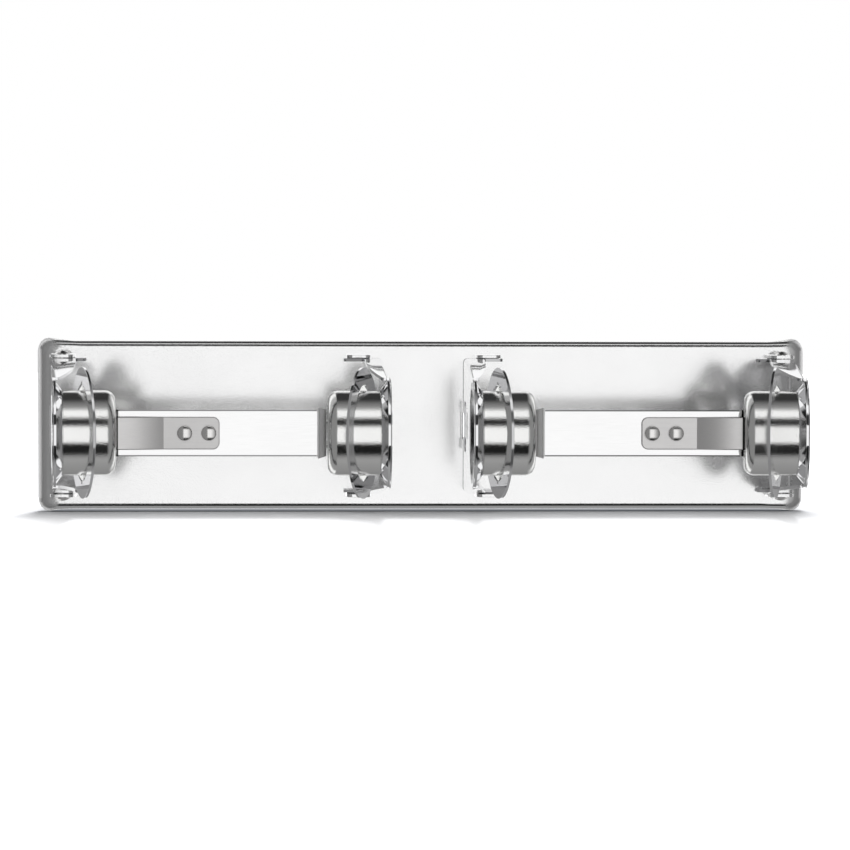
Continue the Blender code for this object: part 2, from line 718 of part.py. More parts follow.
def foot_middle():
    """The depth of the rivets in a bar's foot."""
    return BAR_REAR - BAR_FOOT / 2


def hub_end_x(arm):
    """The place along X of a hub's closed end, at its axis."""
    return arm.world(HUB_LENGTH, ARM_REACH)[0]


def make_bar(inner, outer):
    """One tie bar: a strap whose foot is bent back, with an ear at each end of its bend."""
    side = inner.side
    lean_gap = BAR_FOOT * tan(INNER_LEAN)
    foot_x = abs(hub_end_x(inner)) + CLEARANCE + lean_gap + BAR_SHEET / 2
    tip_x = abs(hub_end_x(outer)) + BAR_ENTRY
    middle = BAR_FRONT - BAR_SHEET / 2
    bend = BAR_BEND + BAR_SHEET / 2
    half = BAR_WIDTH / 2
    stations = [(foot_x, middle - BAR_FOOT, half - BAR_CORNER),
                (foot_x, middle - BAR_FOOT + BAR_CORNER, half)]
    turned = arc(foot_x + bend, middle - bend, bend, pi, pi / 2)
    stations += [(x, depth, half + BAR_EAR * (x - foot_x) / bend) for x, depth in turned]
    stations += [(foot_x + bend + BAR_EAR_RUN, middle, half),
                 (tip_x - BAR_CORNER, middle, half), (tip_x, middle, half - BAR_CORNER / 2)]
    data = strip_mesh("tie_bar", [(side * x, -depth, z) for x, depth, z in stations], "Z")
    part = add_part("tie_bar_" + side_of(side), data, STRAP)
    solidify(part, BAR_SHEET, 0)
    hole = pin_mesh("bar_foot_hole", BAR_SHANK_DIAMETER + 2 * CLEARANCE, BAR_SHEET + 2 * OVERRUN)
    for level in (-1, 1):
        guide = add_guide("bar_foot_hole", hole, None,
                          (side * foot_x, -foot_middle(), level * BAR_RIVET_SPACING / 2),
                          (0, pi / 2, 0))
        boolean(part, guide, "DIFFERENCE")
    cut_latch_holes(part, side, leaf_end_x(outer), middle, BAR_SHEET)
    return part


def leaf_end_x(outer):
    """The place along X of a leaf's riveted end."""
    return abs(hub_end_x(outer)) - LEAF_LENGTH


def latch_rivet_places(leaf_end):
    """The two latch rivets' places along X, from the leaf's riveted end."""
    first = leaf_end + LATCH_RIVET_SETBACK
    return (first, first + LATCH_RIVET_SPACING)


def cut_latch_holes(part, side, leaf_end, depth, thickness):
    """Drill the two latch rivets' holes through a strip."""
    hole = pin_mesh("latch_hole", LATCH_SHANK_DIAMETER + 2 * CLEARANCE, thickness + 2 * OVERRUN)
    for x in latch_rivet_places(leaf_end):
        guide = add_guide("latch_hole", hole, None, (side * x, -depth, 0), (pi / 2, 0, 0))
        boolean(part, guide, "DIFFERENCE")


def bend_x(outer):
    """The place along X of a leaf's bend line."""
    return abs(hub_end_x(outer)) - TONGUE_LENGTH


def make_leaf(outer):
    """The riveted half of one leaf spring, flat on the bar."""
    side = outer.side
    leaf_end = leaf_end_x(outer)
    depth = BAR_FRONT + CLEARANCE + LEAF_SHEET / 2
    half = LEAF_WIDTH / 2
    stations = []
    for step in range(ARC_STEPS + 1):
        angle = step * pi / 2 / ARC_STEPS
        stations.append((leaf_end + LEAF_ROUND * (1 - cos(angle)), half - LEAF_ROUND * (1 - sin(angle))))
    stations.append((bend_x(outer) - CLEARANCE / 2, half))
    data = strip_mesh("latch_spring", [(side * x, -depth, z) for x, z in stations], "Z")
    part = add_part("latch_spring_" + side_of(side), data, SPRING)
    solidify(part, LEAF_SHEET, 0)
    cut_latch_holes(part, side, leaf_end, depth, LEAF_SHEET)
    return part


def make_tongue(outer):
    """The free half of one leaf spring, bowed up from its bend line."""
    side = outer.side
    depth = BAR_FRONT + CLEARANCE + LEAF_SHEET / 2
    half = LEAF_WIDTH / 2
    run = TONGUE_LENGTH + TONGUE_ENTRY
    stations = []
    for step in range(ARC_STEPS + 1):
        share = step / ARC_STEPS
        distance = CLEARANCE / 2 + share * (run - CLEARANCE / 2)
        rise = TONGUE_RISE * sin(min(1.0, distance / TONGUE_LENGTH) * pi / 2)
        stations.append((side * distance, -rise, half))
    data = strip_mesh("latch_tongue", stations, "Z")
    smooth(data)
    part = add_part("latch_tongue_" + side_of(side), data, SPRING, None,
                    (side * bend_x(outer), -depth, 0))
    solidify(part, LEAF_SHEET, 0)
    return part


def rivet_profile(head_diameter, head_height, shank_diameter, grip, tail_diameter, tail_height):
    """A round-head rivet from the top of its dome down to its tail.

    Its grip starts at height 0 and runs down, and both ends stand clear of it.
    """
    radius = (head_diameter ** 2 / 4 + head_height ** 2) / (2 * head_height)
    start = atan2(head_diameter / 2, radius - head_height)
    centre = CLEARANCE + head_height - radius
    dome = [(radius * sin(start * step / DOME_STEPS), centre + radius * cos(start * step / DOME_STEPS))
            for step in range(DOME_STEPS + 1)]
    shank = shank_diameter / 2
    foot = -(grip + CLEARANCE)
    tail = tail_diameter / 2
    return dome + [(shank, CLEARANCE), (shank, foot), (tail, foot),
                   (tail, foot - tail_height / 2), (tail - tail_height / 2, foot - tail_height),
                   (0, foot - tail_height)]


def add_rivet(name, data, place, turn):
    """One rivet, turned about its own axis and set head outwards."""
    part = add_part(name, data, RIVET, None, place, turn)
    screw(part, RIVET_STEPS)


def make_latch_rivets(outer):
    """The two rivets that hold a leaf on its bar."""
    side = outer.side
    front = BAR_FRONT + CLEARANCE + LEAF_SHEET
    grip = LEAF_SHEET + CLEARANCE + BAR_SHEET
    profile = rivet_profile(LATCH_HEAD_DIAMETER, LATCH_HEAD_HEIGHT, LATCH_SHANK_DIAMETER, grip,
                            LATCH_HEAD_DIAMETER - LATCH_TAIL_HEIGHT, LATCH_TAIL_HEIGHT)
    for x, end in zip(latch_rivet_places(leaf_end_x(outer)), ("inner", "outer")):
        add_rivet("latch_rivet_%s_%s" % (end, side_of(side)),
                  profile_mesh("latch_rivet", profile, closed=False),
                  (side * x, -front, 0), (pi / 2, 0, 0))


def make_bar_rivets(inner):
    """The two rivets that hold a bar's foot on the inner hub."""
    side = inner.side
    lean_gap = BAR_FOOT * tan(INNER_LEAN)
    face = abs(hub_end_x(inner)) + CLEARANCE + lean_gap + BAR_SHEET
    grip = BAR_SHEET + CLEARANCE + 2 * lean_gap + DRUM_SHEET
    profile = rivet_profile(BAR_HEAD_DIAMETER, BAR_HEAD_HEIGHT, BAR_SHANK_DIAMETER, grip,
                            BAR_HEAD_DIAMETER - BAR_TAIL_HEIGHT, BAR_TAIL_HEIGHT)
    for level, end in ((1, "upper"), (-1, "lower")):
        add_rivet("bar_rivet_%s_%s" % (end, side_of(side)),
                  profile_mesh("bar_rivet", profile, closed=False),
                  (side * face, -foot_middle(), level * BAR_RIVET_SPACING / 2),
                  (0, side * pi / 2, 0))


def make_pivot_rivets(outer):
    """The two rivets that an outer arm swings on."""
    grip = EAR_SHEET + CLEARANCE + ARM_SHEET
    profile = rivet_profile(PIVOT_HEAD_DIAMETER, PIVOT_HEAD_HEIGHT, PIVOT_SHANK_DIAMETER, grip,
                            PIVOT_TAIL_DIAMETER, PIVOT_TAIL_HEIGHT)
    for level, end, turn in ((1, "upper", 0), (-1, "lower", pi)):
        add_rivet("pivot_rivet_%s_%s" % (end, side_of(outer.side)),
                  profile_mesh("pivot_rivet", profile, closed=False),
                  (outer.axis_x, -PIVOT_DEPTH, level * EAR_OUTER_Z), (turn, 0, 0))


def ear_x(arm):
    """The middle of an arm's ears along X."""
    if arm.outer:
        return arm.axis_x
    return arm.axis_x + arm.hand * INNER_EAR_SHIFT


def make_bracket(arm):
    """A strip behind the plate whose two ears reach through it."""
    half = EAR_WIDTH / 2
    middle_z = EAR_INNER_Z + EAR_SHEET / 2
    back = BRACKET_FRONT - EAR_SHEET / 2
    bend = EAR_BEND + EAR_SHEET / 2
    upper = []
    for step in range(ROUND_STEPS + 1):
        angle = step * pi / 2 / ROUND_STEPS
        upper.append((-(EAR_REACH - EAR_ROUND * (1 - cos(angle))), middle_z,
                      half - EAR_ROUND * (1 - sin(angle))))
    turned = arc(-(back + bend), middle_z - bend, bend, pi / 2, 0, ROUND_STEPS // 2)
    upper += [(y, z, half) for y, z in turned]
    stations = upper + [(y, -z, width) for y, z, width in reversed(upper)]
    data = strip_mesh("ear_bracket", stations, "X")
    part = add_part("ear_bracket_" + arm.tag, data, SATIN, None, (ear_x(arm), 0, 0))
    solidify(part, EAR_SHEET, 0)
    if arm.outer:
        hole = pin_mesh("ear_hole", PIVOT_SHANK_DIAMETER + 2 * CLEARANCE, EAR_SHEET + 2 * CLEARANCE)
        for level in (-1, 1):
            guide = add_guide("ear_hole_" + arm.tag, hole, None,
                              (arm.axis_x, -PIVOT_DEPTH, level * middle_z))
            boolean(part, guide, "DIFFERENCE")
    return part


def build():
    """Make every piece of both roll bays."""
    tilts = {"outer_left": OUTER_LEFT_TILT, "inner_left": INNER_LEFT_TILT,
             "inner_right": INNER_RIGHT_TILT, "outer_right": OUTER_RIGHT_TILT}
    arms = [Arm(side, outer) for side in (-1, 1) for outer in (True, False)]
    make_plate(arms)
    for arm in arms:
        make_bracket(arm)
        make_arm(arm)
        make_hub_cup(arm)
        make_disc(arm, tilts[arm.tag])
    for outer, inner in (arms[0:2], arms[2:4]):
        make_bar(inner, outer)
        make_leaf(outer)
        make_tongue(outer)
        make_latch_rivets(outer)
        make_bar_rivets(inner)
        make_pivot_rivets(outer)


build()
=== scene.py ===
"""Locking two-roll toilet tissue dispenser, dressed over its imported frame."""
import json
from math import asin, cos, hypot, pi, radians, sin, tan
from typing import NamedTuple

import bmesh
import bpy
from bpy.props import FloatProperty, FloatVectorProperty, IntProperty, PointerProperty
from mathutils import Matrix, Vector


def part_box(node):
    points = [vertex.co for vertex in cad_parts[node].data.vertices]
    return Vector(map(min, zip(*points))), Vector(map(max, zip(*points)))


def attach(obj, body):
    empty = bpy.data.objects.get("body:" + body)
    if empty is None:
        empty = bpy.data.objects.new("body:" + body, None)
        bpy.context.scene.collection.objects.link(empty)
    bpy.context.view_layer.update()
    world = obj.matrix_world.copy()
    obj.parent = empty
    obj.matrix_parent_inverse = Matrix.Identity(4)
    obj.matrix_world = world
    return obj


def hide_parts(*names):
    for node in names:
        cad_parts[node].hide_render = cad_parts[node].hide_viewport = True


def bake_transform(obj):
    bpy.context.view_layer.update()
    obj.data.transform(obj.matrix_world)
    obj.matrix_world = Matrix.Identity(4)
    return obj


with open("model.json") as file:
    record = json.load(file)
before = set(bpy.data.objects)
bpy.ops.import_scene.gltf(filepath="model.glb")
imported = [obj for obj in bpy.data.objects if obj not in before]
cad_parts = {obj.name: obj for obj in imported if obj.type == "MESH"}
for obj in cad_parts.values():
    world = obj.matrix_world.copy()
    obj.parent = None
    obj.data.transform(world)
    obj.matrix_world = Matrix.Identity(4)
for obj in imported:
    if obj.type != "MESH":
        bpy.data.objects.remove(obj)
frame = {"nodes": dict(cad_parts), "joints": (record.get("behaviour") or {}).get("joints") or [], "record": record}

bl_info = {
    "name": "Locking Tissue Dispenser",
    "version": (1, 0, 0),
    "blender": (4, 5, 0),
    "location": "View3D > Sidebar > Dispenser",
    "description": "Dresses the packed frame of a locking two-roll tissue dispenser",
    "category": "Object",
}

BODIES = frame["record"]["behaviour"]["bodies"]
JOINTS = {joint["name"]: joint for joint in frame["joints"]}
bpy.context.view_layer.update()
SIDES = ("left", "right")
PLATE_LOW, PLATE_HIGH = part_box("wall_plate")

# The photograph's frame and the camera that was fitted to it
PHOTO_PIXELS = 850
FOCAL_PIXELS = 2786
SENSOR_WIDTH = 36
CAMERA_PLACE = (-0.0439, -1.1440, 0.0423)
CAMERA_YAW = radians(2.257)
CAMERA_PITCH = radians(2.127)
CAMERA_ROLL = radians(0.12)

# Angles that tell the faces of a piece apart
FLAT_ANGLE = radians(0.5)
SHEET_ANGLE = radians(50)
STRIP_ANGLE = radians(14)
# How far towards the camera a front face looks, as the Y of its normal
STRIP_FACING = -0.93
LEAF_FACING = -0.7

# Scales and details of the two patterns that every metal has, and the depth of its specks
SPECK_SCALE = 2400
SPECK_DETAIL = 2
CLOUD_SCALE = 60
CLOUD_DETAIL = 4
SPECK_DEPTH = 0.0001
# How far clouds differ in roughness, how sharply a lobe's specks end, where clouds and specks
# start to tone the metal, how strongly, and the share of brightness that the tone keeps
CLOUD_SPREAD = 0.03
LOBE_SHARPNESS = 8
CLOUD_CLEAR = 0.35
CLOUD_WEAR = 0.4
SPECK_CLEAR = 0.4
SPECK_WEAR = 0.5
WORN_SHARE = 0.86
# How the specks of a rolled strip are drawn out along it
ROLLED = (0.05, 1, 1)

WHITE = (1, 1, 1)
# Colour of the painted shade line where a tie bar or a leaf meets its drum
PAINTED_SHADE_BLACK = (0.02, 0.02, 0.02)


class DispenserSizes(bpy.types.PropertyGroup):
    """Sizes of the pieces that are made over the frame."""
    weld: FloatProperty(name="Weld", description="Distance at which loose corners join",
                        default=0.000002, unit="LENGTH")
    ease: FloatProperty(name="Eased border", description="Width of the slope round a strip's face",
                        default=0.00048, unit="LENGTH")
    ease_drop: FloatProperty(name="Eased border's drop", description="How far that slope falls back",
                             default=0.00015, unit="LENGTH")
    leaf_ease: FloatProperty(name="Leaf's border", description="Width of the slope round a leaf",
                             default=0.00030, unit="LENGTH")
    leaf_ease_drop: FloatProperty(name="Leaf border's drop", description="How far it falls back",
                                  default=0.00010, unit="LENGTH")
    leaf_corner: FloatProperty(name="Leaf corner", description="Rounding of a leaf's riveted end",
                               default=0.0025, unit="LENGTH")
    tongue_angle: FloatProperty(name="Tongue angle", description="Rise of a leaf at its bend",
                                default=radians(19.5), unit="ROTATION")
    tongue_steps: IntProperty(name="Tongue steps", description="Steps along a bowed leaf", default=16)
    corner_steps: IntProperty(name="Corner steps", description="Steps round a leaf's corner",
                              default=8)
    bend_length: FloatProperty(name="Bend length", description="Length over which a leaf turns",
                               default=0.001, unit="LENGTH")
    head_radius: FloatProperty(name="Rivet head", description="Radius of a latch rivet's head",
                               default=0.00285, unit="LENGTH")
    head_height: FloatProperty(name="Head height", description="Height of a latch rivet's head",
                               default=0.0016, unit="LENGTH")
    head_crown: FloatProperty(name="Head crown", description="Radius that the head is domed to",
                              default=0.0085, unit="LENGTH")
    crown_steps: IntProperty(name="Crown steps", description="Steps across half a head", default=6)
    head_round: FloatProperty(name="Head round", description="Rounding of the head's rim",
                              default=0.0004, unit="LENGTH")
    round_steps: IntProperty(name="Round steps", description="Steps round the head's rim", default=4)
    shank_radius: FloatProperty(name="Rivet shank", description="Radius of a latch rivet's shank",
                                default=0.0013, unit="LENGTH")
    tail_radius: FloatProperty(name="Rivet tail", description="Radius of a latch rivet's tail",
                               default=0.0022, unit="LENGTH")
    tail_height: FloatProperty(name="Tail height", description="Height of a latch rivet's tail",
                               default=0.0008, unit="LENGTH")
    cad_head: FloatProperty(name="Packed head", description="Height of the packed rivet's head",
                            default=0.0021, unit="LENGTH")
    edge: FloatProperty(name="Sheet edge", description="Softening of a sheet's cut edges",
                        default=0.00010, unit="LENGTH")
    edge_steps: IntProperty(name="Edge steps", description="Steps round a softened edge", default=2)
    outer_lean: FloatProperty(name="Outer lean", description="Turn of an outer hub's axis",
                              default=radians(6.2), unit="ROTATION")
    inner_lean: FloatProperty(name="Inner lean", description="Turn of an inner hub's axis",
                              default=radians(0.6), unit="ROTATION")
    rivet_steps: IntProperty(name="Rivet steps", description="Steps round a rivet", default=48)
    # The plate's ends are duller, and their colour is darkened as painted shade
    plate_end: FloatProperty(name="Plate's end", description="Width of the plate's duller ends",
                             default=0.00815, unit="LENGTH")
    end_fade: FloatProperty(name="End fade", description="Width over which an end turns dull",
                            default=0.002, unit="LENGTH")
    foot_width: FloatProperty(name="Foot width", description="Width of a tie bar's dull foot",
                              default=0.0037, unit="LENGTH")
    foot_fade: FloatProperty(name="Foot fade", description="Width over which a foot turns dull",
                             default=0.0005, unit="LENGTH")
    # Where the painted shade lines lie past the drum's edge on a bar and on a leaf, their half width and soft
    # edges
    bar_shade: FloatProperty(name="Bar's shade", description="Drum's edge to the dark line on a bar",
                             default=0.0005, unit="LENGTH")
    leaf_shade: FloatProperty(name="Leaf's shade", description="Drum's edge to the line on a leaf",
                              default=0.0002, unit="LENGTH")
    shade_reach: FloatProperty(name="Shade reach", description="Half the width of a dark line",
                               default=0.00045, unit="LENGTH")
    shade_fade: FloatProperty(name="Shade fade", description="Softness of a dark line's edges",
                              default=0.000125, unit="LENGTH")


class DispenserFinishes(bpy.types.PropertyGroup):
    """Colours of the finishes."""
    satin: FloatVectorProperty(name="Satin plate", description="Colour of the wall plate",
                               subtype="COLOR", default=(0.95, 0.95, 0.95))
    bright: FloatVectorProperty(name="Bright chrome", description="Colour of arms and discs",
                                subtype="COLOR", default=(0.90, 0.90, 0.91))
    drawn: FloatVectorProperty(name="Drawn drum", description="Colour of the drums",
                               subtype="COLOR", default=(0.90, 0.90, 0.89))
    strap: FloatVectorProperty(name="Strap", description="Colour of the tie bars",
                               subtype="COLOR", default=(0.97, 0.97, 0.97))
    leaf: FloatVectorProperty(name="Spring leaf", description="Colour of the latch leaves",
                              subtype="COLOR", default=(0.80, 0.79, 0.785))
    rivet: FloatVectorProperty(name="Rivet", description="Colour of the rivets",
                               subtype="COLOR", default=(0.84, 0.83, 0.82))


class DispenserStage(bpy.types.PropertyGroup):
    """The floor, the sun and the studio that the metal mirrors."""
    floor_reach: FloatProperty(name="Floor reach", description="Half the floor's width",
                               default=3.0, unit="LENGTH")
    floor_colour: FloatVectorProperty(name="Floor colour", description="Colour of the floor",
                                      subtype="COLOR", default=(0.875, 0.885, 0.91))
    # Colour of the painted shade on the floor along the plate's foot
    shade_colour: FloatVectorProperty(name="Shade colour", description="Colour under the plate",
                                      subtype="COLOR", default=(0.20, 0.21, 0.23))
    # The floor's glow grows as painted light away from the plate, so that its shadow fades out
    shadow_reach: FloatProperty(name="Shadow reach", description="Wall to where the floor turns paler",
                                default=0.012, unit="LENGTH")
    shadow_fade: FloatProperty(name="Shadow fade", description="Depth over which it turns white",
                               default=0.110, unit="LENGTH")
    side_haste: FloatProperty(name="Side haste", description="How much sooner it does at the ends",
                              default=4)
    floor_glow: FloatProperty(name="Floor glow", description="Least glow of the floor", default=0.05)
    # The painted shade along the plate's foot: its front, its fades, its back and its ends
    contact_front: FloatProperty(name="Contact front", description="Wall to the contact shade's front",
                                 default=0.008, unit="LENGTH")
    contact_fade: FloatProperty(name="Contact fade", description="Depth over which its front fades",
                                default=0.0025, unit="LENGTH")
    contact_back: FloatProperty(name="Contact back", description="Depth over which its back fades",
                                default=0.040, unit="LENGTH")
    contact_inset: FloatProperty(name="Contact inset", description="Plate's end to the shade's end",
                                 default=0.006, unit="LENGTH")
    contact_end: FloatProperty(name="Contact end", description="Width over which its ends fade",
                               default=0.00667, unit="LENGTH")
    fill: FloatProperty(name="Fill", description="Light of the dome on what isn't metal", default=0.5)
    sun_power: FloatProperty(name="Sun power", description="Power of the soft sun", default=2.2)
    sun_spread: FloatProperty(name="Sun spread", description="How wide the soft sun is",
                              default=radians(16), unit="ROTATION")
    sun_height: FloatProperty(name="Sun height", description="Height of the sun over the floor",
                              default=radians(57), unit="ROTATION")
    sun_turn: FloatProperty(name="Sun turn", description="Turn of the sun from straight behind",
                            default=radians(-6), unit="ROTATION")


class Term:
    """One output of a node tree that adds its own Math nodes when it is reckoned with."""

    def __init__(self, tree, socket):
        self.tree = tree
        self.socket = socket

    def __add__(self, other):
        return reckon(self.tree, "ADD", self, other)

    __radd__ = __add__

    def __mul__(self, other):
        return reckon(self.tree, "MULTIPLY", self, other)

    __rmul__ = __mul__

    def __sub__(self, other):
        return reckon(self.tree, "SUBTRACT", self, other)

    def __rsub__(self, other):
        return reckon(self.tree, "SUBTRACT", other, self)

    def __truediv__(self, other):
        return reckon(self.tree, "DIVIDE", self, other)

    def __neg__(self):
        return self * -1

    def __abs__(self):
        return reckon(self.tree, "ABSOLUTE", self)

    def larger(self, other):
        """The larger of this and another."""
        return reckon(self.tree, "MAXIMUM", self, other)

    def clamped(self):
        """Held between 0 and 1."""
        return reckon(self.tree, "MINIMUM", self.larger(0), 1)

    def ramp(self, start, width):
        """0 at start, 1 a width further on, and even in between."""
        return ((self - start) / width).clamped()


def reckon(tree, operation, *terms):
    """Add a Math node that works on terms and numbers."""
    node = tree.nodes.new("ShaderNodeMath")
    node.operation = operation
    for entry, term in zip(node.inputs, terms):
        plug(tree, entry, term)
    return Term(tree, node.outputs[0])


def plug(tree, entry, value):
    """Link a term to a socket, or set the socket's own number."""
    if isinstance(value, Term):
        tree.links.new(value.socket, entry)
    else:
        entry.default_value = value


class Shading:
    """A node tree under construction."""

    def __init__(self, tree):
        self.tree = tree
        tree.nodes.clear()

    def node(self, kind, settings=None, output=0, **values):
        """Add a node, set its settings first and then its sockets."""
        node = self.tree.nodes.new(kind)
        for name, value in (settings or {}).items():
            if name == "stops":
                set_stops(node.color_ramp, value)
            else:
                setattr(node, name, value)
        for name, value in values.items():
            entry = int(name[1:]) if name[0] == "_" else name.replace("_", " ")
            plug(self.tree, node.inputs[entry], value)
        return Term(self.tree, node.outputs[output])

    def blended(self, factor, first, second):
        """A colour between two others, each a term or three numbers."""
        first, second = (colour if isinstance(colour, Term) else (*colour, 1)
                         for colour in (first, second))
        return self.node("ShaderNodeMix", {"data_type": "RGBA"}, output=2, _0=factor, _6=first,
                         _7=second)

    def out(self, term, kind="ShaderNodeOutputMaterial"):
        """End the tree in its output node."""
        node = self.tree.nodes.new(kind)
        self.tree.links.new(term.socket, node.inputs["Surface"])


def set_stops(ramp, stops):
    """Give a ramp its stops, as (place, grey or colour)."""
    while len(ramp.elements) > 1:
        ramp.elements.remove(ramp.elements[-1])
    for index, (place, value) in enumerate(stops):
        element = ramp.elements[0] if index == 0 else ramp.elements.new(place)
        element.position = place
        colour = (value, value, value) if isinstance(value, (int, float)) else value
        element.color = (*colour, 1)


def new_finish(name):
    """An empty material and its tree."""
    material = bpy.data.materials.new(name)
    material.use_nodes = True
    return material, Shading(material.node_tree)


def dimmed(colour, share):
    """A colour at a share of its brightness."""
    return [channel * share for channel in colour]


def grain(shading, turn, place, stretch, scale, detail):
    """Noise drawn out along one way of a piece, from 0 to 1."""
    coordinates = shading.node("ShaderNodeTexCoord", output=3)
    turned = shading.node("ShaderNodeMapping", {"vector_type": "TEXTURE"}, Vector=coordinates,
                          Location=place, Rotation=(0, 0, turn))
    drawn = shading.node("ShaderNodeMapping", Vector=turned, Scale=stretch)
    return shading.node("ShaderNodeTexNoise", Vector=drawn, Scale=scale, Detail=detail)


def along(shading, axis):
    """How far a point lies from the middle along one axis, to either side."""
    coordinates = shading.node("ShaderNodeTexCoord", output=3)
    place = shading.node("ShaderNodeSeparateXYZ", Vector=coordinates, output=axis)
    return abs(place)


class Zone(NamedTuple):
    """A duller stretch of a metal past a place along X, its colour darkened there as painted shade by a share
    below 1. A width below 0 turns it about.
    """
    start: float
    width: float
    dullness: float
    painted_shade_share: float


class PaintedShadeLine(NamedTuple):
    """A narrow dark line of painted shade on a metal, where a bar or a leaf meets a drum, at a place along X."""
    place: float
    reach: float
    fade: float


def metal(name, colour, roughness, spread, lift, stretch=(1, 1, 1), turn=0, place=(0, 0, 0),
          lobe=0.0, zone=None, line=None):
    """A plated metal with a fine grain and soft stains.

    The spread is how much its specks differ in roughness, the lift how much they stand out,
    and the lobe adds rough specks between the bright ones.
    """
    material, shading = new_finish(name)
    specks = grain(shading, turn, place, stretch, SPECK_SCALE, SPECK_DETAIL)
    cloud = grain(shading, turn, place, (1, 1, 1), CLOUD_SCALE, CLOUD_DETAIL)
    rough = roughness + (specks - 0.5) * spread + (cloud - 0.5) * CLOUD_SPREAD
    if lobe:
        rough = rough + ((specks - 0.5) * LOBE_SHARPNESS).clamped() * lobe
    worn = (cloud - CLOUD_CLEAR).clamped() * CLOUD_WEAR + (specks - SPECK_CLEAR).clamped() * SPECK_WEAR
    tone = shading.blended(worn, colour, dimmed(colour, WORN_SHARE))
    # A zone is duller, and its colour is darkened there as painted shade where its share is below 1
    if zone:
        dulled_and_shaded = along(shading, 0).ramp(zone.start, zone.width)
        rough = rough + dulled_and_shaded * zone.dullness
        tone = shading.blended(dulled_and_shaded, tone, dimmed(colour, zone.painted_shade_share))
    # Painted shade: a narrow dark line where a bar or a leaf meets its drum
    if line:
        off = abs(along(shading, 0) - line.place)
        tone = shading.blended(1 - off.ramp(line.reach - line.fade, line.fade), tone, PAINTED_SHADE_BLACK)
    bump = shading.node("ShaderNodeBump", Strength=lift, Distance=SPECK_DEPTH, Height=specks)
    surface = shading.node("ShaderNodeBsdfPrincipled", Base_Color=tone, Roughness=rough.clamped(),
                           Metallic=1.0, Normal=bump)
    shading.out(surface)
    return material


def dress(piece, node, material):
    """Finish a piece: its material, the node it stands for, and its body."""
    piece.data.materials.clear()
    piece.data.materials.append(material)
    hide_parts(node)
    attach(piece, body_of(node))


def body_of(node):
    """The body that a node belongs to."""
    return next(body for body, nodes in BODIES.items() if node in nodes)


def as_piece(bm, name, sharp):
    """Turn a bmesh into a smooth-shaded object at the origin."""
    bmesh.ops.recalc_face_normals(bm, faces=bm.faces)
    data = bpy.data.meshes.new(name)
    bm.to_mesh(data)
    bm.free()
    data.shade_smooth()
    data.set_sharp_from_angle(angle=sharp)
    piece = bpy.data.objects.new(name, data)
    bpy.context.scene.collection.objects.link(piece)
    return piece


def welded(node, sizes):
    """One node's mesh with its corners joined and its flat faces made whole."""
    bm = bmesh.new()
    bm.from_mesh(frame["nodes"][node].data)
    bmesh.ops.remove_doubles(bm, verts=bm.verts, dist=sizes.weld)
    bmesh.ops.dissolve_limit(bm, angle_limit=FLAT_ANGLE, verts=bm.verts, edges=bm.edges)
    return bm


def softened_sheet(node, sizes):
    """A copy of one node whose cut edges are softened."""
    bm = welded(node, sizes)
    cut = [edge for edge in bm.edges if edge.is_manifold and edge.calc_face_angle() > SHEET_ANGLE]
    bmesh.ops.bevel(bm, geom=cut, offset=sizes.edge, segments=sizes.edge_steps, profile=0.5,
                    affect="EDGES", material=-1, clamp_overlap=True)
    piece = as_piece(bm, node + "_dressed", SHEET_ANGLE)
    weighted = piece.modifiers.new("flat_faces_first", "WEIGHTED_NORMAL")
    weighted.keep_sharp = True
    weighted.weight = 100
    return piece


class Hub:
    """One hub's axis, read from its brake disc's joint."""

    def __init__(self, role, side, sizes):
        self.role = role
        self.side = side
        self.tag = role + "_" + side
        joint = JOINTS["disc_%s_rock" % self.tag]
        self.place = joint["pos_m"]
        self.hand = 1 if joint["axis"][2] > 0 else -1
        self.tilt = -radians(joint["range_deg"][0])
        lean = sizes.outer_lean if role == "outer" else -sizes.inner_lean
        self.turn = self.hand * lean


def hubs(sizes):
    """The four hubs, from the left end of the plate to the right."""
    order = (("outer", "left"), ("inner", "left"), ("inner", "right"), ("outer", "right"))
    return [Hub(role, side, sizes) for role, side in order]


def ease_front(bm, width, drop, facing):
    """Slope the border of a strip's front faces back a little."""
    front = [face for face in bm.faces if face.normal.y < facing]
    ring = bmesh.ops.inset_region(bm, faces=front, thickness=width, use_even_offset=True)["faces"]
    inner = {vert for face in front for vert in face.verts}
    outer = {vert for face in ring for vert in face.verts} - inner
    bmesh.ops.translate(bm, vec=(0, drop, 0), verts=list(outer))


def eased_strip(node, sizes):
    """A copy of a strip with a sloped border round its front."""
    bm = welded(node, sizes)
    ease_front(bm, sizes.ease, sizes.ease_drop, STRIP_FACING)
    return as_piece(bm, node + "_eased", STRIP_ANGLE)


